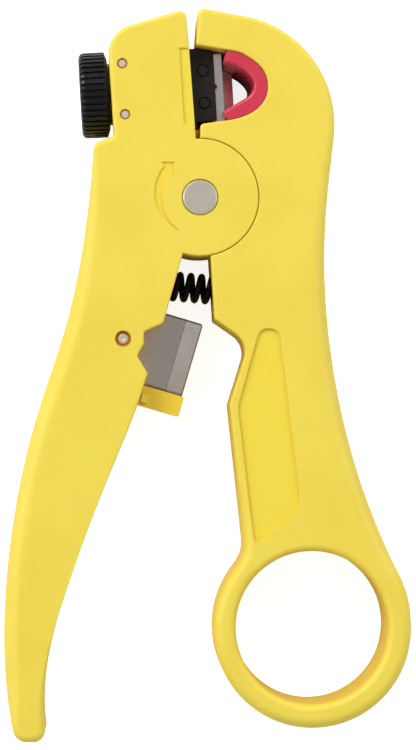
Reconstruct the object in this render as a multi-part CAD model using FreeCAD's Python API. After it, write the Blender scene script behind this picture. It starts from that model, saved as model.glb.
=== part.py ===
import FreeCAD, Part
import math
import os

# Rotary cable stripper and cutter, worked like a clothes peg.
# Millimetres. The tool lies on its back: z = 0 is the resting plane, +Z leaves the front face,
# +Y runs from the pivot towards the jaws and +X towards the finger-ring handle.
# The origin is the pivot axis on the resting plane.

os.makedirs("parts", exist_ok=True)

vector = FreeCAD.Vector
up = vector(0, 0, 1)
document = FreeCAD.newDocument("stripper")

# overall
thickness = 17.0
mid_plane = thickness / 2

# pivot: each handle has a lug of half the thickness that turns in a socket of the other
lug_radius = 10.38
socket_radius = 10.52
lug_gap = 0.5
lug_chamfer = 0.2
rivet_head_radius = 3.1
rivet_head_height = 1.0
rivet_stands_proud = 0.2
rivet_shank_radius = 1.8
cap_tube_radius = 2.5
pivot_clearance = 0.05
washer_radius = 6.0
washer_thickness = 0.4

# jaw head: its slide axis passes through head_centre and leans by head_tilt_deg
head_centre = vector(0, 19.95, 0)
head_tilt_deg = 3.3
channel_low_v = -7.3
channel_high_v = 7.05
channel_left_u = -11.0
channel_half_depth = 4.6
hub_radius = 5.5
hub_bore_radius = 5.58
head_pin_u = -13.56
head_pin_v = 4.52
head_pin_radius = 0.7

# knob
knob_radius = 7.66
knob_valley_radius = 7.2
knob_outer_u = -21.35
knob_inner_u = -16.25
knob_rib_count = 42
screw_radius = 1.9

# cassette
cassette_half_depth = 4.5
plate_thickness = 1.8
plate_right_u = 2.78
stripping_blade_thickness = 0.4
jacket_blade_edge_u = 4.25
core_blade_edge_u = 6.2
cassette_rivet_u = 0.75
cassette_rivet_v = 2.92
cassette_rivet_radius = 0.9
rivet_groove = 0.3

# cutter blade: its frame starts at the top end of the cutting edge
cutter_corner = vector(0.77, -22.28, 0)
cutter_turn_deg = 163.6
cutter_length = 13.5
cutter_width = 15.6
cutter_thickness = 0.8
cutter_bevel = 3.1
cutter_pin_inward = 13.0
cutter_pin_radius = 1.05
guard_height = 3.72
guard_reach = 7.6
guard_top = thickness - 5.9

# spring
spring_left = vector(-9.55, -15.0, mid_plane)
spring_right = vector(5.35, -16.3, mid_plane)
spring_mean_radius = 2.18
spring_wire_radius = 0.57
spring_pitch = 1.93
spring_pocket_radius = 2.95

# finger ring
ring_centre = vector(20.0, -76.5, 0)
ring_outer_radius = 17.55
finger_hole_centre = vector(19.85, -76.2, 0)
finger_hole_radius = 13.5


def at(point, z=0.0):
    return vector(point[0], point[1], z)


class Outline:
    """A closed outline in the XY plane that remembers how round each of its rims is."""

    def __init__(self, start):
        self.here = at(start)
        self.edges = []
        self.rims = []

    def add(self, edge, rim):
        self.edges.append(edge)
        self.rims.append(rim)

    def line(self, end, rim=None):
        end = at(end)
        self.add(Part.makeLine(self.here, end), rim)
        self.here = end
        return self

    def corner(self, vertex, following, radius, rim=None, arc_rim=None):
        """A line towards vertex and an arc that turns it towards the following point."""
        vertex = at(vertex)
        back = (self.here - vertex).normalize()
        ahead = (at(following) - vertex).normalize()
        half_angle = back.getAngle(ahead) / 2
        reach = radius / math.tan(half_angle)
        bisector = (back + ahead).normalize()
        middle = vertex + bisector * (radius / math.sin(half_angle) - radius)
        self.line(vertex + back * reach, rim)
        return self.arc(middle, vertex + ahead * reach, arc_rim or rim)

    def arc(self, through, end, rim=None):
        end = at(end)
        self.add(Part.Arc(self.here, at(through), end).toShape(), rim)
        self.here = end
        return self

    def curve(self, points, rim=None, leaving=None, arriving=None):
        targets = [self.here] + [at(point) for point in points]
        spline = Part.BSplineCurve()
        if leaving:
            spline.interpolate(Points=targets, InitialTangent=at(leaving), FinalTangent=at(arriving))
        else:
            spline.interpolate(targets)
        self.add(spline.toShape(), rim)
        self.here = targets[-1]
        return self

    def split_curve(self, points, stops, rims):
        """One smooth curve cut at the points numbered in stops, so that its rim can vary."""
        targets = [self.here] + [at(point) for point in points]
        spline = Part.BSplineCurve()
        spline.interpolate(targets)
        cuts = [spline.FirstParameter]
        cuts += [spline.parameter(targets[number]) for number in stops]
        cuts.append(spline.LastParameter)
        for low, high, rim in zip(cuts, cuts[1:], rims):
            self.add(spline.toShape(low, high), rim)
        self.here = targets[-1]
        return self

    def solid(self, low, high):
        face = Part.Face(Part.Wire(self.edges))
        face.translate(vector(0, 0, low))
        return face.extrude(vector(0, 0, high - low))

    def rounded_solid(self, low, high):
        """The extruded outline with both of its rims rounded, each stretch by its own radii."""
        plain = self.solid(low, high)
        stretches = []
        for edge, rim in zip(self.edges, self.rims):
            if rim is None:
                continue
            for height in (low, high):
                stretches.append(rim_stretch(plain, edge, height, rim))
        base = document.addObject("Part::Feature", "plain")
        base.Shape = plain
        rounding = document.addObject("Part::Fillet", "rounded")
        rounding.Base = base
        rounding.Edges = stretches
        document.recompute()
        if rounding.Shape.isNull() or not rounding.Shape.isValid():
            raise ValueError("an outline's rims could not be rounded")
        return rounding.Shape.copy()


def middle_of(edge):
    return edge.valueAt((edge.FirstParameter + edge.LastParameter) / 2)


def rim_stretch(solid, outline_edge, height, rim):
    """The number of the solid's edge over an outline edge, with its start and end radii."""
    middle = middle_of(outline_edge)
    target = vector(middle.x, middle.y, height)
    tolerance = 0.01
    for number, edge in enumerate(solid.Edges, 1):
        if (middle_of(edge) - target).Length < tolerance:
            start = edge.Vertexes[0].Point
            same_way = (start - outline_edge.Vertexes[0].Point - up * height).Length < tolerance
            first, last = rim if same_way else (rim[1], rim[0])
            return number, first, last
    raise ValueError("no rim found over an outline edge")


def cylinder(centre, radius, low, high):
    return Part.makeCylinder(radius, high - low, vector(centre[0], centre[1], low))


def box(low, high):
    size = vector(*high) - vector(*low)
    return Part.makeBox(size.x, size.y, size.z, vector(*low))


def polygon(points, low, high):
    corners = [at(point, low) for point in points]
    corners.append(corners[0])
    return Part.Face(Part.makePolygon(corners)).extrude(vector(0, 0, high - low))


def in_head(shape):
    """Moves a shape from the head's own frame (u along the slide axis, v across it) into place."""
    placed = shape.copy()
    placed.rotate(vector(0, 0, 0), up, head_tilt_deg)
    placed.translate(head_centre)
    return placed


def in_cutter(shape):
    """Moves a shape from the cutter's frame (inward from the edge, then along it) into place."""
    placed = shape.copy()
    placed.rotate(vector(0, 0, 0), up, cutter_turn_deg)
    placed.translate(cutter_corner)
    return placed


def along_u(radius, left, right):
    """A cylinder on the head's slide axis."""
    return Part.makeCylinder(radius, right - left, vector(left, 0, mid_plane), vector(1, 0, 0))


def turned_along_u(profile):
    """A body turned about the slide axis from (u, radius) points."""
    corners = [vector(u, radius, 0) for u, radius in profile]
    corners.append(corners[0])
    turned = Part.Face(Part.makePolygon(corners)).revolve(vector(0, 0, 0), vector(1, 0, 0), 360)
    turned.translate(vector(0, 0, mid_plane))
    return turned


def turned_on_pivot(profile):
    """A body turned about the pivot axis from (radius, z) points."""
    corners = [vector(radius, 0, z) for radius, z in profile]
    corners.append(corners[0])
    return Part.Face(Part.makePolygon(corners)).revolve(vector(0, 0, 0), up, 360)


def spring_cylinder(radius):
    direction = spring_left - spring_right
    return Part.makeCylinder(radius, direction.Length, spring_right, direction)


def cutter_pin_place():
    marker = in_cutter(Part.Vertex(cutter_pin_inward, cutter_length / 2, 0))
    return marker.Point


def head_pin_places():
    markers = [in_head(Part.Vertex(head_pin_u, side * head_pin_v, 0)) for side in (-1, 1)]
    return [marker.Point for marker in markers]


# rims: how round the moulded edges are, as start and end radii of each stretch
crisp = (0.35, 0.35)
head_round = (0.8, 0.8)


def lever_outline():
    path = Outline((-0.6, 8.5))
    path.corner((-2.5, 33.55), (-11.9, 30.7), 1.3, crisp, (0.35, 0.8))
    path.line((-11.9, 30.7), head_round)
    path.arc((-15.0, 28.9), (-16.25, 25.8), head_round)
    path.corner((-15.25, 10.9), (-18.8, 9.5), 0.5, head_round)
    path.corner((-18.8, 9.5), (-19.05, 6.6), 1.6, head_round)
    path.line((-19.05, 6.6), (0.8, 1.0))
    outer = [(-20.4, -6.2), (-23.7, -22.5), (-29.1, -39.4), (-32.9, -56.4)]
    outer += [(-34.6, -73.4), (-34.3, -86.1), (-33.1, -94.2)]
    path.split_curve(outer, (3, 6), ((1.0, 3.0), (3.0, 3.0), (3.0, 1.4)))
    path.arc((-32.3, -95.75), (-30.8, -96.4), (1.4, 1.4))
    path.line((-29.3, -96.4), (1.4, 1.4))
    path.arc((-27.95, -95.8), (-27.4, -94.3), (1.4, 1.2))
    inner = [(-27.7, -88.3), (-26.55, -79.8), (-22.7, -67.0), (-18.1, -54.3), (-12.9, -41.6)]
    path.curve(inner + [(-11.2, -37.2)], (1.2, 0.35))
    path.corner((-9.25, -31.2), (-11.15, -28.1), 0.8, crisp)
    path.corner((-11.15, -28.1), (-9.95, -26.0), 0.8, crisp)
    path.corner((-9.95, -26.0), (-9.9, -23.8), 1.0, crisp)
    path.corner((-9.9, -23.8), (-6.5, -22.3), 0.6, crisp)
    path.corner((-6.5, -22.3), (-2.7, -9.2), 0.9, crisp)
    path.line((-2.7, -8.8), crisp)
    path.line((-0.6, 8.5))
    return path


def window_points():
    """The rounded end of the cable window, from its lower lip round to its ceiling."""
    return [(9.2, 15.05), (11.45, 17.3), (12.05, 19.95), (10.7, 23.3), (8.1, 25.2), (5.2, 26.1)]


def ring_handle_outline():
    path = Outline((-2.0, 7.5))
    path.line((0.04, 8.5))
    path.corner((0.04, 13.0), (4.4, 13.6), 0.8, crisp)
    path.line((4.4, 13.6), crisp)
    path.curve(window_points(), crisp, leaving=(1.0, 0.137), arriving=(-1.0, 0.16))
    path.line((-0.72, 27.05), crisp)
    path.corner((-0.4, 33.75), (7.96, 32.23), 1.2, (0.35, 0.8), head_round)
    path.line((7.96, 32.23), head_round)
    path.arc((20.03, 24.77), (23.84, 10.88), (0.8, 1.4))
    path.line((23.04, 3.6), (1.4, 1.8))
    path.curve([(22.2, -12.5), (24.25, -33.05), (33.5, -62.9)], (1.8, 2.4),
               leaving=(-0.11, -0.994), arriving=(0.41, -0.91))
    right_of_ring = ring_centre + vector(ring_outer_radius, 0, 0)
    path.curve([(36.6, -69.6), right_of_ring], (2.4, 1.9), leaving=(0.41, -0.91), arriving=(0, -1))
    below_ring = ring_centre - vector(0, ring_outer_radius, 0)
    meeting = math.radians(141.5)
    beside_ring = ring_centre + vector(math.cos(meeting), math.sin(meeting), 0) * ring_outer_radius
    path.arc(below_ring, beside_ring, (1.9, 1.9))
    path.curve([(7.55, -63.3), (7.75, -60.6)], (1.9, 1.9), leaving=(0.6225, 0.7826),
               arriving=(-0.104, 0.9946))
    notch_bottom = (8.69, -25.8)
    notch_top = (2.62, -21.6)
    path.corner((5.25, -36.7), notch_bottom, 0.8, (1.9, 0.35), crisp)
    path.corner(notch_bottom, notch_top, 4.0, crisp)
    path.corner(notch_top, (1.84, -10.5), 0.6, crisp)
    path.line((1.8, -9.0), crisp)
    path.line((-2.0, -7.5))
    path.line((-2.0, 7.5))
    return path


def round_panel_face():
    """The long shallow field on the ring handle's front face."""
    path = Outline((9.0, -57.0))
    path.corner((6.65, -37.0), (10.5, -23.2), 1.6)
    path.corner((10.5, -23.2), (14.1, -23.2), 1.9)
    path.corner((14.1, -23.2), (18.0, -54.9), 2.0)
    path.corner((18.0, -54.9), (9.7, -62.4), 4.2)
    path.corner((9.7, -62.4), (9.0, -57.0), 1.1)
    path.line((9.0, -57.0))
    return path


def front_socket(centre_low):
    """The round pocket for the other handle's lug, with a softened mouth at the front face."""
    pocket = cylinder((0, 0), socket_radius, centre_low, thickness + 1)
    mouth = Part.makeCone(socket_radius, socket_radius + lug_chamfer, lug_chamfer,
                          vector(0, 0, thickness - lug_chamfer))
    return pocket.fuse(mouth)


def mirrored_in_z(shape):
    return shape.mirror(vector(0, 0, mid_plane), up)


def front_lug():
    """The half-thickness round lug whose face is flush with the front."""
    low = mid_plane + lug_gap / 2
    flank = cylinder((0, 0), lug_radius, low, thickness - lug_chamfer)
    crown = Part.makeCone(lug_radius, lug_radius - lug_chamfer, lug_chamfer,
                          vector(0, 0, thickness - lug_chamfer))
    return flank.fuse(crown)


def pivot_hole(bore_radius):
    """The stepped hole for the rivet head at the front and the tube that goes through."""
    seat_depth = rivet_head_height - rivet_stands_proud
    seat = cylinder((0, 0), rivet_head_radius + 0.15, thickness - seat_depth, thickness + 1)
    return seat.fuse(cylinder((0, 0), bore_radius, -1, thickness))


def jaw_step():
    """A narrow step along the lever jaw's inner edge, beside the cassette."""
    points = [(-3.7, 26.5), (-2.85, 13.0), (0.5, 13.0), (-0.5, 26.5)]
    return polygon(points, thickness - 0.35, thickness + 1)


def turn_arrow():
    """The shallow curved arrow that shows which way to turn the tool round the cable."""
    tail = (-3.7, -5.9)
    path = Outline(tail)
    path.arc((-8.1, 0.2), (-6.35, 5.65))
    path.line((-6.9, 6.25))
    path.line((-4.55, 6.25))
    path.line((-4.55, 3.85))
    path.line((-5.15, 4.45))
    path.arc((-6.65, 0.25), tail)
    return path.solid(thickness - 0.3, thickness + 1)


def pin_hole(place, radius, mouth_radius, mouth_depth):
    """A hole right through the lever, widened where it meets each face."""
    hole = cylinder(place, radius, -1, thickness + 1)
    front = cylinder(place, mouth_radius, thickness - mouth_depth, thickness + 1)
    return hole.fuse([front, mirrored_in_z(front)])


def cutter_slot():
    """The slit in the lever that takes the blade and its holder, with room for the guard block."""
    slot = box((5.0, -0.3, 5.8), (16.2, 13.9, 9.0))
    guard_room = box((2.0, cutter_length, 5.8),
                     (guard_reach + 0.1, cutter_length + guard_height + 0.1, guard_top + 0.6))
    return in_cutter(slot.fuse(guard_room))


def lip_tab(grown):
    """The stop under the lever jaw's edge, which the jaw closes against."""
    foot = box((-1.5 - grown, 9.0, -grown), (1.0, 14.2 + grown, 3.0 + grown))
    rise = box((-1.5 - grown, 9.0, 0), (1.0, 12.3 + grown, 12.5 + grown))
    return foot.fuse(rise)


def lever_handle():
    body = lever_outline().rounded_solid(0, thickness)
    body = body.fuse(front_lug())
    recess_top = mid_plane + lug_gap / 2
    body = body.cut(mirrored_in_z(front_socket(thickness - recess_top)))
    channel = box((channel_left_u, channel_low_v, mid_plane - channel_half_depth),
                  (8, channel_high_v, mid_plane + channel_half_depth))
    cuts = [pivot_hole(cap_tube_radius + pivot_clearance), in_head(channel)]
    cuts.append(in_head(along_u(hub_bore_radius, -20, channel_left_u + 0.1)))
    cuts += [jaw_step(), turn_arrow(), cutter_slot(), spring_cylinder(spring_pocket_radius)]
    cuts.append(lip_tab(0.25))
    for place in head_pin_places():
        cuts.append(pin_hole(place, head_pin_radius + 0.02, 0.95, 0.3))
    cuts.append(pin_hole(cutter_pin_place(), cutter_pin_radius + 0.02, 1.45, 0.7))
    return body.cut(cuts)


def ring_handle():
    body = ring_handle_outline().rounded_solid(0, thickness)
    body = body.fuse([mirrored_in_z(front_lug()), lip_tab(0)])
    recess_floor = mid_plane - lug_gap / 2
    hole = cylinder(finger_hole_centre, finger_hole_radius, -1, thickness + 1)
    body = body.cut(hole)
    hole_rims = [edge for edge in body.Edges if is_hole_rim(edge)]
    body = body.makeFillet(1.3, hole_rims)
    throat_slot = box((-2.0, -39.2, 5.6), (9.5, -20.45, 11.4))
    cuts = [front_socket(recess_floor), throat_slot, spring_cylinder(spring_pocket_radius)]
    cuts.append(mirrored_in_z(pivot_hole(cap_tube_radius)))
    cuts.append(round_panel_face().solid(thickness - 0.5, thickness + 1))
    return body.cut(cuts)


def is_hole_rim(edge):
    curve = edge.Curve
    if not isinstance(curve, Part.Circle):
        return False
    return (at(curve.Center) - finger_hole_centre).Length < 0.01


def seat_mouth(low, high):
    """The space inside the vee. Its walls lean, so the mouth is wider at the front face."""
    back = [(3.5, 23.8), (5.0, 23.35), (6.75, 22.6), (8.3, 21.35), (9.0, 19.95)]
    back += [(8.4, 18.6), (7.0, 17.65), (5.1, 16.5), (3.5, 15.7)]
    front = [(3.5, 24.3), (5.0, 23.85), (7.0, 23.1), (8.8, 21.7), (9.6, 19.9)]
    front += [(8.8, 18.2), (7.3, 17.15), (5.1, 15.9), (3.5, 15.1)]
    wires = []
    for height, points in ((low, back), (high, front)):
        corners = [at(point, height) for point in points]
        wall = Part.BSplineCurve()
        wall.interpolate(corners)
        wires.append(Part.Wire([wall.toShape(), Part.makeLine(corners[-1], corners[0])]))
    return Part.makeLoft(wires, True, True)


def cable_seat():
    """The red vee that the cable is pressed into, slit where the blades come through."""
    low = 0.8
    high = thickness - crisp[0]
    path = Outline((5.2, 13.87))
    outer = [(9.16, 15.09), (11.4, 17.33), (11.98, 19.95), (10.65, 23.25), (8.07, 25.14), (5.2, 26.04)]
    path.curve(outer, leaving=(1.0, 0.14), arriving=(-1.0, 0.2))
    path.arc((4.4, 25.1), (5.0, 23.0))
    path.line((5.1, 16.9))
    path.arc((4.4, 14.6), (5.2, 13.87))
    vee = path.solid(low, high).cut(seat_mouth(low, high))
    rims = [edge for edge in vee.Edges if edge.BoundBox.ZMin > high - 0.01]
    rims.sort(key=lambda edge: edge.Length)
    vee = vee.makeFillet(0.6, [rims[-2]])
    slits = []
    for blade_middle in (core_blade_middle(), jacket_blade_middle()):
        slits.append(box((4.0, 10, blade_middle - 0.5), (8.0, 30, blade_middle + 0.5)))
    return vee.cut(slits)


def front_plate_low():
    return mid_plane + cassette_half_depth - plate_thickness


def jacket_blade_middle():
    return front_plate_low() - stripping_blade_thickness / 2


def core_blade_middle():
    return thickness - jacket_blade_middle()


def pivot_post():
    """The visible front half of the pivot rivet: a head with a bright chamfer, and a shank."""
    top = thickness + rivet_stands_proud
    under = top - rivet_head_height
    chamfer = 0.3
    head = rivet_head_radius
    profile = [(0, top), (head - chamfer, top), (head, top - chamfer), (head, under)]
    profile += [(rivet_shank_radius, under), (rivet_shank_radius, 3.0), (0, 3.0)]
    return turned_on_pivot(profile)


def pivot_cap():
    """The rear half of the pivot rivet: a flush head and the tube that the lever turns on."""
    chamfer = 0.2
    head_top = rivet_head_height - rivet_stands_proud
    tube_top = thickness + rivet_stands_proud - rivet_head_height - 0.05
    shank = rivet_shank_radius
    profile = [(0, 0), (rivet_head_radius - chamfer, 0), (rivet_head_radius, chamfer)]
    profile += [(rivet_head_radius, head_top), (cap_tube_radius, head_top)]
    profile += [(cap_tube_radius, tube_top), (shank, tube_top), (shank, 2.9), (0, 2.9)]
    return turned_on_pivot(profile)


def pivot_washer():
    """The thin washer that keeps the two lugs apart."""
    low = mid_plane - washer_thickness / 2
    ring = cylinder((0, 0), washer_radius, low, low + washer_thickness)
    return ring.cut(cylinder((0, 0), cap_tube_radius + pivot_clearance, 0, thickness))


def head_pins():
    end_gap = 0.12
    pins = []
    for place in head_pin_places():
        pin = cylinder(place, head_pin_radius, end_gap, thickness - end_gap)
        ends = [edge for edge in pin.Edges if isinstance(edge.Curve, Part.Circle)]
        pins.append(pin.makeChamfer(0.12, ends))
    return Part.makeCompound(pins)


def cutter_pin():
    """The pin through the lever that locates the blade, centre-marked at both ends."""
    place = cutter_pin_place()
    end_gap = 0.45
    pin = cylinder(place, cutter_pin_radius, end_gap, thickness - end_gap)
    ends = [edge for edge in pin.Edges if isinstance(edge.Curve, Part.Circle)]
    pin = pin.makeFillet(0.3, ends)
    mark = Part.makeCone(0.05, 0.4, 0.3, vector(place.x, place.y, thickness - end_gap - 0.3))
    return pin.cut([mark, mirrored_in_z(mark)])


def cutter_blade():
    low = mid_plane - cutter_thickness / 2
    high = mid_plane + cutter_thickness / 2
    edge_thickness = 0.08
    side = [(0, mid_plane - edge_thickness / 2), (cutter_bevel, low), (cutter_width, low)]
    side += [(cutter_width, high), (cutter_bevel, high), (0, mid_plane + edge_thickness / 2)]
    corners = [vector(inward, 0, z) for inward, z in side]
    corners.append(corners[0])
    blade = Part.Face(Part.makePolygon(corners)).extrude(vector(0, cutter_length, 0))
    nick = polygon([(-0.1, -0.1), (0.45, -0.1), (-0.1, 0.45)], 0, thickness)
    hole = cylinder((cutter_pin_inward, cutter_length / 2), cutter_pin_radius + 0.03, 0, thickness)
    return in_cutter(blade.cut([nick, hole]))


def blade_holder():
    """The moulded tongue behind the blade, with a guard block past the end of the edge."""
    under_blade = mid_plane - cutter_thickness / 2 - 0.03
    tongue = box((3.6, 0.1, 5.9), (15.4, cutter_length + 0.35, under_blade))
    block = box((-0.39, cutter_length + 0.05, 5.9), (guard_reach, cutter_length + guard_height, guard_top))
    tab = box((5.7, cutter_length + 1.5, guard_top), (6.9, cutter_length + 3.0, guard_top + 0.5))
    hole = cylinder((cutter_pin_inward, cutter_length / 2), cutter_pin_radius + 0.03, 0, thickness)
    upright = [edge for edge in block.Edges if edge.BoundBox.ZLength > 1 and edge.BoundBox.XMin < 0]
    block = block.makeFillet(0.25, upright)
    tongue_tip = [edge for edge in tongue.Edges if edge.BoundBox.ZLength > 1 and edge.BoundBox.XMin > 15]
    tongue = tongue.makeFillet(2.0, tongue_tip)
    return in_cutter(tongue.fuse([block, tab]).cut(hole))


def knob_profile(radius, valley_radius):
    """The ribbed cross-section: each rib has a narrow flat crest between round-bottomed valleys."""
    pitch = 2 * math.pi / knob_rib_count
    crest = 0.28 * pitch
    edges = []

    def on_circle(angle, reach):
        return vector(0, reach * math.cos(angle), reach * math.sin(angle))

    for number in range(knob_rib_count):
        start = number * pitch
        crest_left = on_circle(start - crest, radius)
        crest_right = on_circle(start + crest, radius)
        next_crest = on_circle(start + pitch - crest, radius)
        valley = on_circle(start + pitch / 2, valley_radius)
        edges.append(Part.makeLine(crest_left, crest_right))
        edges.append(Part.Arc(crest_right, valley, next_crest).toShape())
    return Part.Face(Part.Wire(edges))


def adjusting_knob():
    """The ribbed knob and its hub, grooved for the head pins and for the friction ring."""
    length = knob_inner_u - knob_outer_u
    grip = knob_profile(knob_radius, knob_valley_radius).extrude(vector(length, 0, 0))
    grip.translate(vector(knob_outer_u, 0, mid_plane))
    left = knob_outer_u
    right = knob_inner_u
    edge = knob_radius
    envelope = [(left, 0), (left, edge - 0.95), (left + 0.15, edge - 0.5), (left + 0.45, edge - 0.15)]
    envelope += [(left + 0.9, edge), (right - 0.5, edge), (right, edge - 1.4), (right, 0)]
    grip = grip.common(turned_along_u(envelope))
    dish = turned_along_u([(left - 1, 0), (left - 1, 5.9), (left, 5.9), (left + 0.7, 5.2), (left + 0.7, 0)])
    grip = grip.cut(dish)
    hub_end = channel_left_u - 0.35
    pin_groove_low = head_pin_u - head_pin_radius - 0.1
    pin_groove_high = head_pin_u + head_pin_radius + 0.1
    root = head_pin_v - head_pin_radius - 0.12
    ring_low = hub_end - 1.1
    ring_high = hub_end - 0.3
    hub = [(right - 1, 0), (right - 1, hub_radius), (pin_groove_low, hub_radius)]
    hub += [(pin_groove_low, root), (pin_groove_high, root), (pin_groove_high, hub_radius)]
    hub += [(ring_low, hub_radius), (ring_low, hub_radius - 0.7), (ring_high, hub_radius - 0.7)]
    hub += [(ring_high, hub_radius), (hub_end, hub_radius), (hub_end, 0)]
    knob = grip.fuse(turned_along_u(hub))
    return in_head(knob.cut(along_u(screw_radius, left - 1, hub_end + 1)))


def friction_ring():
    """The rubber ring on the knob's hub that holds the setting."""
    hub_end = channel_left_u - 0.35
    outer = hub_radius + 0.04
    inner = hub_radius - 0.68
    low = hub_end - 1.06
    high = hub_end - 0.34
    ring = turned_along_u([(low, inner), (low, outer - 0.1), (low + 0.1, outer),
                           (high - 0.1, outer), (high, outer - 0.1), (high, inner)])
    return in_head(ring)


def adjusting_screw():
    """The threaded rod fixed in the knob, slotted at its outer end."""
    left = knob_outer_u + 0.3
    rod = along_u(screw_radius, left, -6.0)
    slot = box((left - 1, -0.35, 0), (left + 0.6, 0.35, thickness))
    ends = [edge for edge in rod.Edges if isinstance(edge.Curve, Part.Circle)]
    return in_head(rod.makeChamfer(0.25, ends).cut(slot))


def cassette_carrier():
    """The block that slides in the head: it holds the nut and hooks the cassette's tail."""
    block = box((-9.4, -7.2, mid_plane - cassette_half_depth), (-2.95, 6.9, mid_plane + cassette_half_depth))
    tail_slot = box((-4.5, -2.9, 0), (-3.5, 2.9, thickness))
    neck_slot = box((-3.6, -1.6, 0), (-2.0, 1.6, thickness))
    cuts = [along_u(3.2, -10, -6.3), along_u(screw_radius + 0.25, -7, -4.4), tail_slot, neck_slot]
    return in_head(block.cut(cuts))


def carrier_nut():
    """The threaded brass insert that the screw draws along."""
    nut = along_u(3.2, -9.3, -6.3)
    return in_head(nut.cut(along_u(screw_radius + 0.04, -10, -6)))


def cassette_plate_points():
    right = plate_right_u
    points = [(-2.85, -7.2), (-0.75, -7.2), (-0.75, -6.3), (right, -6.0), (right, -0.5)]
    return points + [(right + 0.42, 0), (right, 0.5), (right, 6.1), (-0.5, 6.9), (-2.85, 6.9)]


def rivet_hole(side, radius, low, high):
    return cylinder((cassette_rivet_u, side * cassette_rivet_v), radius, low, high)


def cassette_front_plate():
    low = front_plate_low()
    high = low + plate_thickness
    plate = polygon(cassette_plate_points(), low, high)
    front_edges = [edge for edge in plate.Edges if abs(edge.BoundBox.ZMin - high) < 0.001]
    plate = plate.makeChamfer(0.12, front_edges)
    cuts = [cylinder((0.19, 5.35), 0.65, high - 0.4, high + 1)]
    for side in (-1, 1):
        cuts.append(rivet_hole(side, cassette_rivet_radius + 0.02, 0, thickness))
        cuts.append(rivet_hole(side, cassette_rivet_radius + rivet_groove, high - 0.5, thickness))
    return in_head(plate.cut(cuts))


def cassette_back_plate():
    high = thickness - front_plate_low()
    plate = polygon(cassette_plate_points(), high - plate_thickness, high)
    cuts = []
    for side in (-1, 1):
        cuts.append(rivet_hole(side, cassette_rivet_radius + 0.02, 0, thickness))
        cuts.append(rivet_hole(side, cassette_rivet_radius + rivet_groove, 0, high - plate_thickness + 0.5))
    return in_head(plate.cut(cuts))


def cassette_spacer():
    """The block between the two stripping blades, with the tail that hooks into the carrier."""
    low = thickness - front_plate_low() + stripping_blade_thickness
    high = front_plate_low() - stripping_blade_thickness
    block = box((-2.85, -5.6, low), (2.2, 5.9, high))
    neck = box((-3.9, -1.5, low), (-2.8, 1.5, high))
    tail = box((-4.4, -2.8, low), (-3.6, 2.8, high))
    cuts = [rivet_hole(side, cassette_rivet_radius + 0.02, 0, thickness) for side in (-1, 1)]
    return in_head(block.fuse([neck, tail]).cut(cuts))


def stripping_blade(side, low_v, high_v):
    """A flat blade cut from its (u, z) side view, with the cassette's rivet holes."""
    corners = [vector(u, low_v, z) for u, z in side]
    corners.append(corners[0])
    blade = Part.Face(Part.makePolygon(corners)).extrude(vector(0, high_v - low_v, 0))
    cuts = [rivet_hole(end, cassette_rivet_radius + 0.02, 0, thickness) for end in (-1, 1)]
    return in_head(blade.cut(cuts))


def jacket_blade():
    """The first blade, ground on its back."""
    high = front_plate_low()
    low = high - stripping_blade_thickness
    edge = jacket_blade_edge_u
    side = [(-2.6, low), (edge - 0.6, low), (edge, high - 0.04), (edge, high), (-2.6, high)]
    return stripping_blade(side, -6.1, 5.9)


def core_blade():
    """The second blade, ground on its front."""
    low = thickness - front_plate_low()
    high = low + stripping_blade_thickness
    edge = core_blade_edge_u
    side = [(-2.6, low), (edge, low), (edge, low + 0.04), (edge - 1.8, high), (-2.6, high)]
    return stripping_blade(side, -5.6, 5.5)


def cassette_rivets():
    low = mid_plane - cassette_half_depth + 0.05
    high = mid_plane + cassette_half_depth - 0.05
    rivets = []
    for side in (-1, 1):
        rivet = rivet_hole(side, cassette_rivet_radius, low, high)
        ends = [edge for edge in rivet.Edges if isinstance(edge.Curve, Part.Circle)]
        rivets.append(in_head(rivet.makeFillet(0.12, ends)))
    return Part.makeCompound(rivets)


def return_spring():
    """The coil spring between the handles, its ends seated in their pockets."""
    direction = spring_left - spring_right
    height = direction.Length - 2 * spring_wire_radius - 0.1
    helix = Part.makeHelix(spring_pitch, height, spring_mean_radius)
    start = helix.Edges[0].valueAt(helix.Edges[0].FirstParameter)
    heading = helix.Edges[0].tangentAt(helix.Edges[0].FirstParameter)
    section = Part.Wire([Part.makeCircle(spring_wire_radius, start, heading)])
    coil = helix.makePipeShell([section], True, True)
    coil.Placement = FreeCAD.Placement(
        spring_right + direction.normalize() * (spring_wire_radius + 0.05),
        FreeCAD.Rotation(up, direction),
    )
    return coil


nodes = {
    "ring_handle": ring_handle,
    "cable_seat": cable_seat,
    "pivot_post": pivot_post,
    "pivot_cap": pivot_cap,
    "pivot_washer": pivot_washer,
    "return_spring": return_spring,
    "lever_handle": lever_handle,
    "head_pins": head_pins,
    "cutter_pin": cutter_pin,
    "cutter_blade": cutter_blade,
    "blade_holder": blade_holder,
    "adjusting_knob": adjusting_knob,
    "adjusting_screw": adjusting_screw,
    "friction_ring": friction_ring,
    "cassette_carrier": cassette_carrier,
    "carrier_nut": carrier_nut,
    "cassette_front_plate": cassette_front_plate,
    "cassette_back_plate": cassette_back_plate,
    "cassette_spacer": cassette_spacer,
    "cassette_rivets": cassette_rivets,
    "jacket_blade": jacket_blade,
    "core_blade": core_blade,
}

for name, make in nodes.items():
    shape = make()
    if not shape.isValid():
        raise ValueError(name + " is not a valid solid")
    shape.exportStep("parts/" + name + ".step")
    print(name, len(shape.Solids), round(shape.Volume, 2))
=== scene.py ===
import math

import bmesh
import bpy
from mathutils import Matrix, Vector


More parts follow.
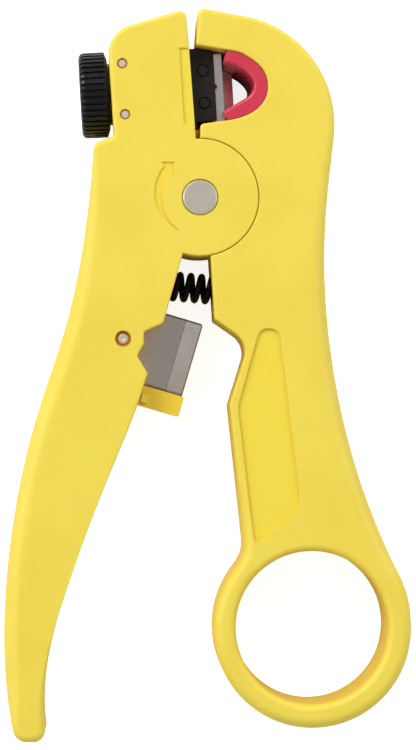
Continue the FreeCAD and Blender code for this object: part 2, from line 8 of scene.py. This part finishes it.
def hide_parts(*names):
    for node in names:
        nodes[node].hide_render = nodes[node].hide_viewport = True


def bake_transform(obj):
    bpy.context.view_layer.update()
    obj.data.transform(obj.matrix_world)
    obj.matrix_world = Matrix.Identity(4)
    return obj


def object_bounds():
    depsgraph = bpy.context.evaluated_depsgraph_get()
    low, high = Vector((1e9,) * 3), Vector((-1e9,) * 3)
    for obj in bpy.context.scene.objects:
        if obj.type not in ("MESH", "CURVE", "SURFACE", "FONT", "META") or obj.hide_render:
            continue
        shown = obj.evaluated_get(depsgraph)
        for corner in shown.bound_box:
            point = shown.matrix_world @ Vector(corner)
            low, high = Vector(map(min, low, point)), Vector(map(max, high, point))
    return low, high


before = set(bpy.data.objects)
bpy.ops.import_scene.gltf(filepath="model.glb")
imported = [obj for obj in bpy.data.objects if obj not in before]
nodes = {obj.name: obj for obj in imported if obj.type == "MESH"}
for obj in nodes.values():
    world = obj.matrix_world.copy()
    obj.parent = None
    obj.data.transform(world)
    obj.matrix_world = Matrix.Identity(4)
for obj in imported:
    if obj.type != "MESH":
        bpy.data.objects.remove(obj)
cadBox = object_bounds()
scene = bpy.context.scene
mm = 0.001
thicknessOfTool = 17.0
noiseRange = (0.3, 0.7)      # nearly all of a noise texture's values lie between these
print("frame loaded:", len(nodes), "nodes")


# shader helpers: every pattern is laid out in millimetres of the tool's own space

def startMaterial(name):
    material = bpy.data.materials.new(name)
    material.use_nodes = True
    tree = material.node_tree
    return material, tree, tree.nodes["Principled BSDF"]


def millimetres(tree, stretch=(1, 1, 1), turn=(0, 0, 0)):
    place = tree.nodes.new("ShaderNodeTexCoord")
    scaler = tree.nodes.new("ShaderNodeMapping")
    scaler.inputs["Rotation"].default_value = [math.radians(a) for a in turn]
    scaler.inputs["Scale"].default_value = [s / mm for s in stretch]
    tree.links.new(place.outputs["Object"], scaler.inputs["Vector"])
    return scaler.outputs["Vector"]


def noise(tree, where, size, detail=2.0, rough=0.5):
    # size is the width of one blotch in millimetres
    texture = tree.nodes.new("ShaderNodeTexNoise")
    texture.inputs["Scale"].default_value = 1 / size
    texture.inputs["Detail"].default_value = detail
    texture.inputs["Roughness"].default_value = rough
    tree.links.new(where, texture.inputs["Vector"])
    return texture.outputs["Fac"]


def remap(tree, value, fromLow, fromHigh, toLow, toHigh, smooth=False):
    node = tree.nodes.new("ShaderNodeMapRange")
    node.interpolation_type = "SMOOTHSTEP" if smooth else "LINEAR"
    for socket, number in zip(node.inputs[1:5], (fromLow, fromHigh, toLow, toHigh)):
        socket.default_value = number
    tree.links.new(value, node.inputs["Value"])
    return node.outputs["Result"]


def calculate(tree, operation, first, second=None):
    node = tree.nodes.new("ShaderNodeMath")
    node.operation = operation
    for socket, value in zip(node.inputs, (first, second)):
        if value is None:
            continue
        if isinstance(value, (int, float)):
            socket.default_value = value
        else:
            tree.links.new(value, socket)
    return node.outputs["Value"]


def blendColours(tree, factor, first, second, mode="MIX"):
    node = tree.nodes.new("ShaderNodeMix")
    node.data_type = "RGBA"
    node.blend_type = mode
    tree.links.new(factor, node.inputs["Factor"])
    # a Mix node has sockets of every type, so the colour ones are picked by type
    colourInputs = [s for s in node.inputs if s.type == "RGBA"]
    for socket, colour in zip(colourInputs, (first, second)):
        if isinstance(colour, (tuple, list)):
            socket.default_value = (*colour, 1)
        else:
            tree.links.new(colour, socket)
    return next(s for s in node.outputs if s.type == "RGBA")


def addBump(tree, shader, height, depth, base=None):
    # depth is in millimetres, and base is an earlier bump that this one adds to
    node = tree.nodes.new("ShaderNodeBump")
    node.inputs["Distance"].default_value = depth * mm
    node.inputs["Strength"].default_value = 1.0
    tree.links.new(height, node.inputs["Height"])
    if base is not None:
        tree.links.new(base, node.inputs["Normal"])
    tree.links.new(node.outputs["Normal"], shader.inputs["Normal"])
    return node.outputs["Normal"]


def upFacing(tree, low, high):
    # 0 where the surface leans away from the front, up to 1 where it faces it
    geometry = tree.nodes.new("ShaderNodeNewGeometry")
    transform = tree.nodes.new("ShaderNodeVectorTransform")
    transform.vector_type = "NORMAL"
    transform.convert_from = "WORLD"
    transform.convert_to = "OBJECT"
    tree.links.new(geometry.outputs["Normal"], transform.inputs["Vector"])
    parts = tree.nodes.new("ShaderNodeSeparateXYZ")
    tree.links.new(transform.outputs["Vector"], parts.inputs["Vector"])
    return remap(tree, parts.outputs["Z"], low, high, 0, 1)


def heightBetween(tree, low, high):
    # 1 where the surface lies between two heights in millimetres
    where = millimetres(tree)
    parts = tree.nodes.new("ShaderNodeSeparateXYZ")
    tree.links.new(where, parts.inputs["Vector"])
    above = calculate(tree, "GREATER_THAN", parts.outputs["Z"], low)
    below = calculate(tree, "LESS_THAN", parts.outputs["Z"], high)
    return calculate(tree, "MULTIPLY", above, below)


def nearPins(tree, where, places, reach, fade):
    # 1 within reach of any of the upright pins, fading out over the next stretch
    flatten = tree.nodes.new("ShaderNodeVectorMath")
    flatten.operation = "MULTIPLY"
    flatten.inputs[1].default_value = (1, 1, 0)
    tree.links.new(where, flatten.inputs[0])
    nearest = None
    for x, y in places:
        gap = tree.nodes.new("ShaderNodeVectorMath")
        gap.operation = "DISTANCE"
        gap.inputs[1].default_value = (x, y, 0)
        tree.links.new(flatten.outputs["Vector"], gap.inputs[0])
        distance = gap.outputs["Value"]
        nearest = distance if nearest is None else calculate(tree, "MINIMUM", nearest, distance)
    return remap(tree, nearest, reach, reach + fade, 1, 0)


def pinAxes(nodeName, count):
    # where a node's upright pins stand: they are alike, so each has an equal share of the
    # vertices in order along the tool, and its axis is the middle of its share
    points = [vertex.co.copy() / mm for vertex in nodes[nodeName].data.vertices]
    points.sort(key=lambda point: point.y)
    share = len(points) // count
    groups = [points[number * share:(number + 1) * share] for number in range(count)]
    axes = []
    for group in groups:
        across = [point.x for point in group]
        up = [point.y for point in group]
        axes.append(((min(across) + max(across)) / 2, (min(up) + max(up)) / 2))
    return axes


def mouldedPlastic(name, look):
    material, tree, shader = startMaterial(name)
    where = millimetres(tree)
    cloud = noise(tree, where, look["cloudSize"], 3.0, 0.55)
    tone = remap(tree, cloud, *noiseRange, 0, 1, smooth=True)
    colour = blendColours(tree, tone, look["colour"], look["cloudColour"])
    # painted shade: walls that face sideways take a deeper orange side colour, standing for the
    # warm shade bounced between the yellow walls
    if "sideShadeColour" in look:
        facing = upFacing(tree, *look["sideFacing"])
        colour = blendColours(tree, facing, look["sideShadeColour"], colour)
    if "recessColour" in look:
        recess = heightBetween(tree, *look["recessHeights"])
        recess = calculate(tree, "MULTIPLY", recess, upFacing(tree, *look["recessFacing"]))
        colour = blendColours(tree, recess, colour, look["recessColour"])
    for ring in look.get("rings", ()):
        # painted shade: a brown ring in the mouth of each pin hole, below the face
        axes = pinAxes(ring["node"], ring["count"])
        stainAndShade = nearPins(tree, where, axes, ring["reach"], ring["fade"])
        below = heightBetween(tree, thicknessOfTool - ring["depth"], thicknessOfTool - 0.02)
        stainAndShade = calculate(tree, "MULTIPLY", stainAndShade, below)
        colour = blendColours(tree, stainAndShade, colour, ring["colour"])
    speck = noise(tree, where, look["speckSize"], 1.0)
    # only the brightest spots of the noise become specks
    speckMask = remap(tree, speck, 0.66, 0.74, 0, look["speckAmount"])
    colour = blendColours(tree, speckMask, colour, look["speckColour"])
    tree.links.new(colour, shader.inputs["Base Color"])
    patch = noise(tree, where, look["patchSize"], 4.0, 0.6)
    gloss = remap(tree, patch, 0.25, 0.75, *look["roughness"])
    tree.links.new(gloss, shader.inputs["Roughness"])
    grain = noise(tree, where, look["grainSize"], 3.0, 0.6)
    swell = noise(tree, where, look["swellSize"], 1.0)
    normal = addBump(tree, shader, swell, look["swellDepth"])
    addBump(tree, shader, grain, look["grainDepth"], base=normal)
    shader.inputs["IOR"].default_value = look["ior"]
    shader.inputs["Specular IOR Level"].default_value = look["specular"]
    if look.get("glow"):
        shader.inputs["Subsurface Weight"].default_value = look["glow"]
        shader.inputs["Subsurface Radius"].default_value = look["glowRadius"]
        shader.inputs["Subsurface Scale"].default_value = mm
    return material


def groundSteel(name, look):
    material, tree, shader = startMaterial(name)
    shader.inputs["Metallic"].default_value = 1.0
    lines = millimetres(tree, look["lineStretch"], look["lineTurn"])
    brush = noise(tree, lines, look["lineSize"], 3.0, 0.6)
    where = millimetres(tree)
    cloud = noise(tree, where, look["cloudSize"], 3.0)
    tone = remap(tree, brush, *noiseRange, 0, 1)
    colour = blendColours(tree, tone, look["colour"], look["lineColour"])
    # the stain keeps to the lighter half of the cloud
    stainAndShade = remap(tree, cloud, 0.45, 0.75, 0, look["stainAmount"], smooth=True)
    colour = blendColours(tree, stainAndShade, colour, look["stainColour"])
    tree.links.new(colour, shader.inputs["Base Color"])
    # painted shade: the steel beyond the reach of the pin axis takes the rim colour, standing for
    # the shade round the pin's edge in its hole
    if "rim" in look:
        rim = look["rim"]
        axes = pinAxes(rim["node"], rim["count"])
        inside = nearPins(tree, where, axes, rim["reach"], rim["fade"])
        colour = blendColours(tree, inside, rim["colour"], colour)
        tree.links.new(colour, shader.inputs["Base Color"])
    gloss = remap(tree, brush, *noiseRange, *look["roughness"])
    tree.links.new(gloss, shader.inputs["Roughness"])
    addBump(tree, shader, brush, look["lineDepth"])
    return material


def cutterFrame(tree, look):
    # distances inward from the cutting edge and along it, in millimetres
    turn = math.radians(-look["turn"])
    cornerX, cornerY = look["corner"]
    place = tree.nodes.new("ShaderNodeTexCoord")
    mover = tree.nodes.new("ShaderNodeMapping")
    mover.inputs["Scale"].default_value = (1 / mm, 1 / mm, 1 / mm)
    mover.inputs["Rotation"].default_value = (0, 0, turn)
    mover.inputs["Location"].default_value = (
        -(cornerX * math.cos(turn) - cornerY * math.sin(turn)),
        -(cornerX * math.sin(turn) + cornerY * math.cos(turn)),
        0,
    )
    tree.links.new(place.outputs["Object"], mover.inputs["Vector"])
    parts = tree.nodes.new("ShaderNodeSeparateXYZ")
    tree.links.new(mover.outputs["Vector"], parts.inputs["Vector"])
    return parts.outputs["X"], parts.outputs["Y"]


def honedSteel(name, look):
    # the cutter: a ground flat, a hazy bevel painted brighter as a painted reflection, a coppery
    # edge, and dark ends, the lower one a painted shadow of the holder
    material = groundSteel(name, look)
    tree = material.node_tree
    shader = tree.nodes["Principled BSDF"]
    flat = shader.inputs["Base Color"].links[0].from_socket
    inward, along = cutterFrame(tree, look)
    haze = noise(tree, millimetres(tree), look["hazeSize"], 3.0)
    # painted reflection: the bevel is painted brighter than the flat, fading darker along the blade
    bevelTone = remap(tree, along, *look["bevelFade"], 0, 1, smooth=True)
    bevel = blendColours(tree, bevelTone, look["bevelReflectionColour"], look["bevelEndReflectionColour"])
    bevel = blendColours(tree, remap(tree, haze, 0.35, 0.7, 0, 0.5), bevel, look["hazeColour"])
    onBevel = calculate(tree, "LESS_THAN", inward, look["bevelWidth"])
    colour = blendColours(tree, onBevel, flat, bevel)
    seam = calculate(tree, "SUBTRACT", inward, look["bevelWidth"])
    seam = calculate(tree, "ABSOLUTE", seam)
    seam = remap(tree, seam, 0, look["seamWidth"], 0.55, 0)
    colour = blendColours(tree, seam, colour, look["seamColour"])
    edge = remap(tree, inward, look["edgeWidth"] * 0.6, look["edgeWidth"], 1, 0)
    colour = blendColours(tree, edge, colour, look["edgeColour"])
    end = remap(tree, along, look["endWidth"] * 0.5, look["endWidth"], 0.85, 0)
    colour = blendColours(tree, end, colour, look["endColour"])
    # painted shadow: the holder block's shadow darkens the foot of the blade
    footShadow = remap(tree, along, look["length"] - look["footShadowWidth"], look["length"], 0, 0.9)
    colour = blendColours(tree, footShadow, colour, look["endColour"])
    tree.links.new(colour, shader.inputs["Base Color"])
    return material


handlePlastic = {
    "colour": (0.83, 0.668, 0.078),
    "cloudColour": (0.805, 0.632, 0.064),
    "cloudSize": 14.0,
    # painted shade: the deeper orange that sideways-facing walls take
    "sideShadeColour": (0.85, 0.605, 0.052),
    "recessColour": (0.845, 0.675, 0.052),
    "sideFacing": (0.1, 0.8),
    "recessHeights": (16.3, 16.9),
    "recessFacing": (0.9, 0.98),
    "speckSize": 0.55,
    "speckAmount": 0.12,
    "speckColour": (0.72, 0.52, 0.04),
    "patchSize": 9.0,
    "roughness": (0.40, 0.50),
    "grainSize": 0.16,
    "grainDepth": 0.006,
    "swellSize": 7.0,
    "swellDepth": 0.03,
    "ior": 1.5,
    "specular": 0.5,
    "glow": 0.2,
    "glowRadius": (1.6, 0.9, 0.12),
    "rings": (
        # painted shade in the mouths of the pin holes: a brown ring below the face, where the hole
        # walls are in shade
        {"node": "head_pins", "count": 2, "reach": 1.0, "fade": 0.15, "depth": 1.2,
         "colour": (0.50, 0.28, 0.04)},
        {"node": "cutter_pin", "count": 1, "reach": 1.6, "fade": 0.15, "depth": 1.6,
         "colour": (0.55, 0.27, 0.04)},
    ),
}

holderPlastic = dict(handlePlastic, colour=(0.89, 0.665, 0.046), cloudColour=(0.87, 0.635, 0.040),
                     speckAmount=0.08, rings=(), recessColour=(0.90, 0.74, 0.10),
                     recessHeights=(11.35, 12.0))     # the raised tab is painted paler, a painted highlight where it stands up out of the block's shade

seatPlastic = {
    "colour": (0.62, 0.040, 0.080),
    "cloudColour": (0.58, 0.036, 0.072),
    "cloudSize": 6.0,
    "speckSize": 0.4,
    "speckAmount": 0.1,
    "speckColour": (0.8, 0.12, 0.18),
    "patchSize": 4.0,
    "roughness": (0.24, 0.32),
    "grainSize": 0.2,
    "grainDepth": 0.003,
    "swellSize": 3.0,
    "swellDepth": 0.02,
    "ior": 1.5,
    "specular": 0.5,
    "glow": 0.25,
    "glowRadius": (1.2, 0.25, 0.3),
}

blackPlastic = {
    "colour": (0.003, 0.003, 0.003),
    "cloudColour": (0.006, 0.0055, 0.0055),
    "cloudSize": 2.5,
    "speckSize": 0.3,
    "speckAmount": 0.3,
    "speckColour": (0.035, 0.035, 0.034),
    "patchSize": 1.5,
    "roughness": (0.18, 0.32),
    "grainSize": 0.3,
    "grainDepth": 0.03,
    "swellSize": 1.4,
    "swellDepth": 0.05,
    "ior": 1.5,
    "specular": 0.34,
}

cassettePlastic = dict(blackPlastic, colour=(0.0085, 0.0065, 0.006), roughness=(0.36, 0.48),
                       cloudColour=(0.013, 0.0095, 0.009), speckAmount=0.2, grainDepth=0.008,
                       specular=0.36, swellDepth=0.02)

ringRubber = dict(blackPlastic, roughness=(0.7, 0.85), grainDepth=0.01)

washerNylon = dict(handlePlastic, colour=(0.75, 0.72, 0.65), cloudColour=(0.7, 0.67, 0.6), rings=())
del washerNylon["sideShadeColour"]
del washerNylon["recessColour"]

cutterSteel = {
    "colour": (0.75, 0.68, 0.62),
    "lineColour": (0.62, 0.56, 0.52),
    "lineStretch": (1, 14, 14),
    "lineTurn": (0, 0, -163.6),
    "lineSize": 1.2,
    "lineDepth": 0.004,
    "cloudSize": 4.0,
    "stainAmount": 0.3,
    "stainColour": (0.55, 0.48, 0.41),
    "roughness": (0.26, 0.36),
    "corner": (0.77, -22.28),         # the top end of the cutting edge
    "turn": 163.6,                    # which way is inward from it
    "bevelWidth": 3.1,
    "bevelReflectionColour": (1.0, 0.97, 0.93),
    "bevelEndReflectionColour": (0.88, 0.75, 0.65),
    "bevelFade": (4.0, 12.5),
    "hazeSize": 2.2,
    "hazeColour": (0.90, 0.82, 0.76),
    "seamWidth": 0.16,
    "seamColour": (0.36, 0.32, 0.29),
    "edgeWidth": 0.3,
    "edgeColour": (0.50, 0.29, 0.15),
    "length": 13.5,
    "endWidth": 0.4,
    "footShadowWidth": 0.6,
    "endColour": (0.07, 0.045, 0.03),
}

stripperSteel = {
    "colour": (0.97, 0.92, 0.90),
    "lineColour": (0.88, 0.82, 0.79),
    "lineStretch": (10, 1, 10),
    "lineTurn": (0, 0, -3.3),
    "lineSize": 0.8,
    "lineDepth": 0.004,
    "cloudSize": 4.0,
    "stainAmount": 0.15,
    "stainColour": (0.70, 0.62, 0.58),
    "roughness": (0.20, 0.28),
}

# painted reflection: the core blade's steel is tinted red, standing for the red seat reflected in
# it
coreSteel = dict(stripperSteel, colour=(0.74, 0.52, 0.49), lineColour=(0.66, 0.45, 0.42))

pinSteel = {
    "colour": (0.82, 0.77, 0.66),
    "lineColour": (0.76, 0.71, 0.61),
    "lineStretch": (1, 1, 1),
    "lineTurn": (0, 0, 0),
    "lineSize": 0.35,
    "lineDepth": 0.002,
    "cloudSize": 1.5,
    "stainAmount": 0.25,
    "stainColour": (0.62, 0.53, 0.44),
    "roughness": (0.38, 0.48),
}

headPinSteel = dict(pinSteel, colour=(0.99, 0.88, 0.80), lineColour=(0.93, 0.78, 0.70),
                    stainColour=(0.75, 0.56, 0.46),
                    # painted shade: the orange rim round the pin heads
                    rim={"node": "head_pins", "count": 2, "reach": 0.52, "fade": 0.16,
                         "colour": (1.0, 0.72, 0.38)})
cutterPinSteel = dict(pinSteel, colour=(0.93, 0.90, 0.72), lineColour=(0.86, 0.76, 0.60),
                      stainColour=(0.66, 0.46, 0.28), stainAmount=0.45,
                      # painted shade: the copper rim round the pin head
                      rim={"node": "cutter_pin", "count": 1, "reach": 0.66, "fade": 0.2,
                           "colour": (0.86, 0.48, 0.17)})
nutBrass = dict(pinSteel, colour=(0.72, 0.52, 0.2), lineColour=(0.66, 0.46, 0.16))
springBlack = dict(pinSteel, colour=(0.012, 0.010, 0.010), lineColour=(0.008, 0.007, 0.007),
                   stainColour=(0.03, 0.026, 0.024), roughness=(0.24, 0.36))

materials = {
    "handleYellow": mouldedPlastic("handleYellow", handlePlastic),
    "holderYellow": mouldedPlastic("holderYellow", holderPlastic),
    "seatRed": mouldedPlastic("seatRed", seatPlastic),
    "knobBlack": mouldedPlastic("knobBlack", blackPlastic),
    "cassetteBlack": mouldedPlastic("cassetteBlack", cassettePlastic),
    "frictionRubber": mouldedPlastic("frictionRubber", ringRubber),
    "washerNylon": mouldedPlastic("washerNylon", washerNylon),
    "cutterSteel": honedSteel("cutterSteel", cutterSteel),
    "stripperSteel": groundSteel("stripperSteel", stripperSteel),
    "coreSteel": groundSteel("coreSteel", coreSteel),
    "pivotSteel": groundSteel("pivotSteel", pinSteel),
    "headPinSteel": groundSteel("headPinSteel", headPinSteel),
    "cutterPinSteel": groundSteel("cutterPinSteel", cutterPinSteel),
    "nutBrass": groundSteel("nutBrass", nutBrass),
    "springBlack": groundSteel("springBlack", springBlack),
}

finishes = {
    "ring_handle": "handleYellow",
    "lever_handle": "handleYellow",
    "blade_holder": "holderYellow",
    "cable_seat": "seatRed",
    "pivot_post": "pivotSteel",
    "pivot_cap": "pivotSteel",
    "pivot_washer": "washerNylon",
    "head_pins": "headPinSteel",
    "cutter_pin": "cutterPinSteel",
    "cutter_blade": "cutterSteel",
    "adjusting_knob": "knobBlack",
    "adjusting_screw": "pivotSteel",
    "friction_ring": "frictionRubber",
    "cassette_carrier": "cassetteBlack",
    "carrier_nut": "nutBrass",
    "cassette_front_plate": "cassetteBlack",
    "cassette_back_plate": "cassetteBlack",
    "cassette_spacer": "cassetteBlack",
    "cassette_rivets": "cassetteBlack",
    "jacket_blade": "stripperSteel",
    "core_blade": "coreSteel",
}

for nodeName, finish in finishes.items():
    mesh = nodes[nodeName].data
    mesh.materials.clear()
    mesh.materials.append(materials[finish])
print("finishes given to", len(finishes), "nodes")


# the return spring: open coils in the middle, one closed coil at each end

springCoil = {
    "leftEnd": (-9.55, -15.0, 8.5),
    "rightEnd": (5.35, -16.3, 8.5),
    "meanRadius": 2.18,
    "wireRadius": 0.57,
    "pitch": 1.93,
    "closedPitch": 1.17,
    "endGap": 0.08,
    "topOfACoil": 6.077,      # distance along the axis at which the wire is at its highest
    "stepsPerTurn": 40,
    "wireSides": 14,
    "seatOverrun": 2.0,
}


def springLine(size):
    # points of the wire's centre line: (distance along the axis, angle)
    length = (Vector(size["rightEnd"]) - Vector(size["leftEnd"])).length
    low = size["wireRadius"] + size["endGap"]
    high = length - low
    step = 2 * math.pi / size["stepsPerTurn"]
    anchor = size["topOfACoil"]
    half = []
    for way, limit in ((-1, anchor - low), (1, high - anchor)):
        travel, angle, run = 0.0, 0.0, []
        while travel < limit:
            left = limit - travel
            # the last full turn lies against its neighbour
            share = min(1.0, max(0.0, (left - size["closedPitch"]) / size["pitch"] * 1.4))
            pitch = size["closedPitch"] + (size["pitch"] - size["closedPitch"]) * share
            travel += pitch * step / (2 * math.pi)
            angle += step
            run.append((anchor + way * min(travel, limit), way * angle))
        half.append(run)
    return list(reversed(half[0])) + [(anchor, 0.0)] + half[1]


def makeSpring(size):
    left, right = Vector(size["leftEnd"]), Vector(size["rightEnd"])
    along = (right - left).normalized()
    front = Vector((0, 0, 1))
    upward = front.cross(along)
    points = [
        left + along * distance
        + (upward * math.cos(angle) - front * math.sin(angle)) * size["meanRadius"]
        for distance, angle in springLine(size)
    ]
    build = bmesh.new()
    rings = []
    for number, point in enumerate(points):
        before = points[max(number - 1, 0)]
        after = points[min(number + 1, len(points) - 1)]
        heading = (after - before).normalized()
        axisPoint = left + along * (point - left).dot(along)
        outward = (point - axisPoint).normalized()
        sideways = heading.cross(outward).normalized()
        outward = sideways.cross(heading)
        ring = []
        for side in range(size["wireSides"]):
            turn = 2 * math.pi * side / size["wireSides"]
            offset = (outward * math.cos(turn) + sideways * math.sin(turn)) * size["wireRadius"]
            ring.append(build.verts.new((point + offset) * mm))
        rings.append(ring)
    for first, second in zip(rings, rings[1:]):
        for side in range(size["wireSides"]):
            following = (side + 1) % size["wireSides"]
            build.faces.new((first[side], first[following], second[following], second[side]))
    build.faces.new(list(reversed(rings[0])))
    build.faces.new(rings[-1])
    for face in build.faces:
        face.smooth = len(face.verts) == 4
    bmesh.ops.recalc_face_normals(build, faces=build.faces)
    mesh = bpy.data.meshes.new("returnSpringCoil")
    build.to_mesh(mesh)
    build.free()
    spring = bpy.data.objects.new("returnSpringCoil", mesh)
    scene.collection.objects.link(spring)
    mesh.materials.append(materials["springBlack"])
    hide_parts("return_spring")
    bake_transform(spring)


makeSpring(springCoil)
print("return spring wound")


# floor, light and camera

studio = {
    "floorSize": 4.0,
    "floorColour": (0.80, 0.80, 0.80),
    "floorWhitening": 0.84,
    "floorDrop": 0.05,           # millimetres below the tool's back
    "gradientHeights": (0.2, 0.95),
    "zenithStrength": 0.32,
    "horizonStrength": 0.46,
    "softboxes": {
        # name: (place, size, power)
        "upperLeft": ((-0.55, 0.70, 0.75), 0.55, 7.6),
        "upperRight": ((0.60, 0.65, 0.70), 0.6, 3.4),
        "lowerLeft": ((-0.60, -0.50, 0.70), 0.6, 1.0),
        "lowerRight": ((0.60, -0.60, 0.70), 0.6, 0.7),
        "sideLeft": ((-0.85, 0.10, 0.40), 0.5, 2.2),
        "sideRight": ((0.85, 0.10, 0.42), 0.5, 1.3),
    },
    "target": (0, -0.03, 0.008),
}


def makeFloor(look):
    material, tree, shader = startMaterial("paleFloor")
    where = millimetres(tree)
    cloud = noise(tree, where, 300.0, 2.0)
    tone = remap(tree, cloud, *noiseRange, 0, 1)
    shade = tuple(c * 0.985 for c in look["floorColour"])
    colour = blendColours(tree, tone, look["floorColour"], shade)
    tree.links.new(colour, shader.inputs["Base Color"])
    shader.inputs["Roughness"].default_value = 0.9
    shader.inputs["Specular IOR Level"].default_value = 0.1
    # extra white that only the camera sees, so that it doesn't light the tool from below
    ray = tree.nodes.new("ShaderNodeLightPath")
    glow = tree.nodes.new("ShaderNodeEmission")
    seen = calculate(tree, "MULTIPLY", ray.outputs["Is Camera Ray"], look["floorWhitening"])
    tree.links.new(seen, glow.inputs["Strength"])
    both = tree.nodes.new("ShaderNodeAddShader")
    tree.links.new(shader.outputs["BSDF"], both.inputs[0])
    tree.links.new(glow.outputs["Emission"], both.inputs[1])
    output = tree.nodes["Material Output"]
    tree.links.new(both.outputs["Shader"], output.inputs["Surface"])
    half = look["floorSize"] / 2
    build = bmesh.new()
    level = cadBox[0][2] - look["floorDrop"] * mm
    corners = [build.verts.new((x, y, level)) for x, y in
               ((-half, -half), (half, -half), (half, half), (-half, half))]
    build.faces.new(corners)
    mesh = bpy.data.meshes.new("studioFloor")
    build.to_mesh(mesh)
    build.free()
    floor = bpy.data.objects.new("studioFloor", mesh)
    scene.collection.objects.link(floor)
    mesh.materials.append(material)


def makeLights(look):
    world = bpy.data.worlds.new("studioSky")
    scene.world = world
    world.use_nodes = True
    tree = world.node_tree
    sky = tree.nodes["Background"]
    sky.inputs["Color"].default_value = (1, 1, 1, 1)
    direction = tree.nodes.new("ShaderNodeTexCoord")
    parts = tree.nodes.new("ShaderNodeSeparateXYZ")
    tree.links.new(direction.outputs["Generated"], parts.inputs["Vector"])
    strength = remap(tree, parts.outputs["Z"], *look["gradientHeights"],
                     look["horizonStrength"], look["zenithStrength"], smooth=True)
    tree.links.new(strength, sky.inputs["Strength"])
    for name, (place, size, power) in look["softboxes"].items():
        lamp = bpy.data.lights.new(name, "AREA")
        lamp.shape = "SQUARE"
        lamp.size = size
        lamp.energy = power
        softbox = bpy.data.objects.new(name, lamp)
        softbox.location = place
        aim = Vector(look["target"]) - Vector(place)
        softbox.rotation_euler = aim.to_track_quat("-Z", "Y").to_euler()
        scene.collection.objects.link(softbox)


view = {
    "place": (-15.0, -41.0, 567.0),
    "target": (1.4, -31.5, 17.0),
    "lens": 149.35,
}


def makeCamera(look):
    lens = bpy.data.cameras.new("camera")
    lens.lens = look["lens"]
    lens.sensor_fit = "AUTO"
    lens.sensor_width = 36
    lens.clip_start = 0.01
    lens.clip_end = 20
    camera = bpy.data.objects.new("camera", lens)
    place = Vector(look["place"]) * mm
    ahead = (Vector(look["target"]) * mm - place).normalized()
    right = ahead.cross(Vector((0, 1, 0))).normalized()
    top = right.cross(ahead)
    facing = Matrix((right, top, -ahead)).transposed().to_4x4()
    camera.matrix_world = Matrix.Translation(place) @ facing
    scene.collection.objects.link(camera)
    scene.camera = camera


makeFloor(studio)
makeLights(studio)
makeCamera(view)
scene.view_settings.view_transform = "Standard"
print("floor, lights and camera placed")
